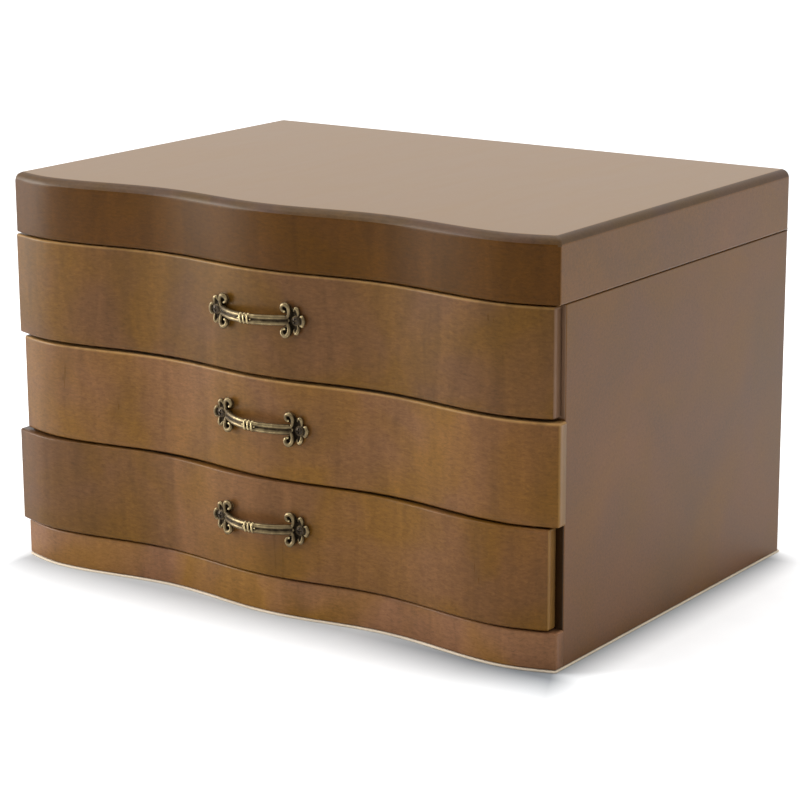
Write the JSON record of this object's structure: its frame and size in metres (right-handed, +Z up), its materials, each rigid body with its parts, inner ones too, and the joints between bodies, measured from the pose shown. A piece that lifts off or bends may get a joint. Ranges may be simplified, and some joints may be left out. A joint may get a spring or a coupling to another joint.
{
  "type": "jewelry box",
  "caption": "Rectangular wooden box with a wavy front, a hinged lid over a shallow tray, and drawers with cast bow handles, for storing jewelry.",
  "frame": {"origin": "middle of the footprint, at the underside of the felt pad", "axes": "+Z up, +Y towards the hinged back, +X to the right of someone facing the drawers"},
  "size_m": [0.2927, 0.2201, 0.182],
  "materials": {
    "lacquered_wood": "brown stain under satin lacquer",
    "drawer_box_wood": "stained, thin matt varnish",
    "velvet": "short beige velvet",
    "base_felt": "pressed felt",
    "antique_bronze": "darkened casting, rubbed bright on its edges",
    "handle_screw": "darkened",
    "hinge_brass": "plain, slightly dull",
    "mirror": "silvered glass"
  },
  "bodies": {
    "case": {"left_side_panel": "lacquered_wood", "right_side_panel": "lacquered_wood", "back_panel": "lacquered_wood", "bottom_board": "drawer_box_wood", "drawer_floor": "drawer_box_wood", "shelf_lower": "drawer_box_wood", "shelf_upper": "drawer_box_wood", "plinth_front": "lacquered_wood", "felt_base_pad": "base_felt", "tray_deck": "drawer_box_wood", "tray_front_rail": "lacquered_wood", "tray_divider_left": "lacquered_wood", "tray_divider_right": "lacquered_wood", "ring_cushion_1": "velvet", "ring_cushion_2": "velvet", "ring_cushion_3": "velvet", "hinge_left_case_leaf": "hinge_brass", "hinge_left_case_screw_1": "hinge_brass", "hinge_left_case_screw_2": "hinge_brass", "hinge_right_case_leaf": "hinge_brass", "hinge_right_case_screw_1": "hinge_brass", "hinge_right_case_screw_2": "hinge_brass"},
    "lid": {"lid_panel": "lacquered_wood", "lid_front_rail": "lacquered_wood", "lid_left_rail": "lacquered_wood", "lid_right_rail": "lacquered_wood", "lid_back_rail": "lacquered_wood", "lid_mirror": "mirror", "hinge_left_lid_leaf": "hinge_brass", "hinge_left_pin": "hinge_brass", "hinge_left_lid_screw_1": "hinge_brass", "hinge_left_lid_screw_2": "hinge_brass", "hinge_right_lid_leaf": "hinge_brass", "hinge_right_pin": "hinge_brass", "hinge_right_lid_screw_1": "hinge_brass", "hinge_right_lid_screw_2": "hinge_brass"},
    "drawer_1": {"drawer_1_front": "lacquered_wood", "drawer_1_left_side": "drawer_box_wood", "drawer_1_right_side": "drawer_box_wood", "drawer_1_back": "drawer_box_wood", "drawer_1_bottom": "drawer_box_wood", "drawer_1_handle": "antique_bronze", "drawer_1_handle_screw_left": "handle_screw", "drawer_1_handle_screw_right": "handle_screw"},
    "drawer_2": {"drawer_2_front": "lacquered_wood", "drawer_2_left_side": "drawer_box_wood", "drawer_2_right_side": "drawer_box_wood", "drawer_2_back": "drawer_box_wood", "drawer_2_bottom": "drawer_box_wood", "drawer_2_handle": "antique_bronze", "drawer_2_handle_screw_left": "handle_screw", "drawer_2_handle_screw_right": "handle_screw"},
    "drawer_3": {"drawer_3_front": "lacquered_wood", "drawer_3_left_side": "drawer_box_wood", "drawer_3_right_side": "drawer_box_wood", "drawer_3_back": "drawer_box_wood", "drawer_3_bottom": "drawer_box_wood", "drawer_3_handle": "antique_bronze", "drawer_3_handle_screw_left": "handle_screw", "drawer_3_handle_screw_right": "handle_screw"}
  },
  "joints": [
    {"name": "lid_hinge", "type": "hinge", "parent": "case", "child": "lid", "pos_m": [0, 0.1019, 0.15405], "axis": [-1, 0, 0], "range_deg": [0, 95]},
    {"name": "drawer_1_slide", "type": "slide", "parent": "case", "child": "drawer_1", "axis": [0, -1, 0], "range_m": [0, 0.12]},
    {"name": "drawer_2_slide", "type": "slide", "parent": "case", "child": "drawer_2", "axis": [0, -1, 0], "range_m": [0, 0.12]},
    {"name": "drawer_3_slide", "type": "slide", "parent": "case", "child": "drawer_3", "axis": [0, -1, 0], "range_m": [-0.0015, 0.1185]}
  ]
}
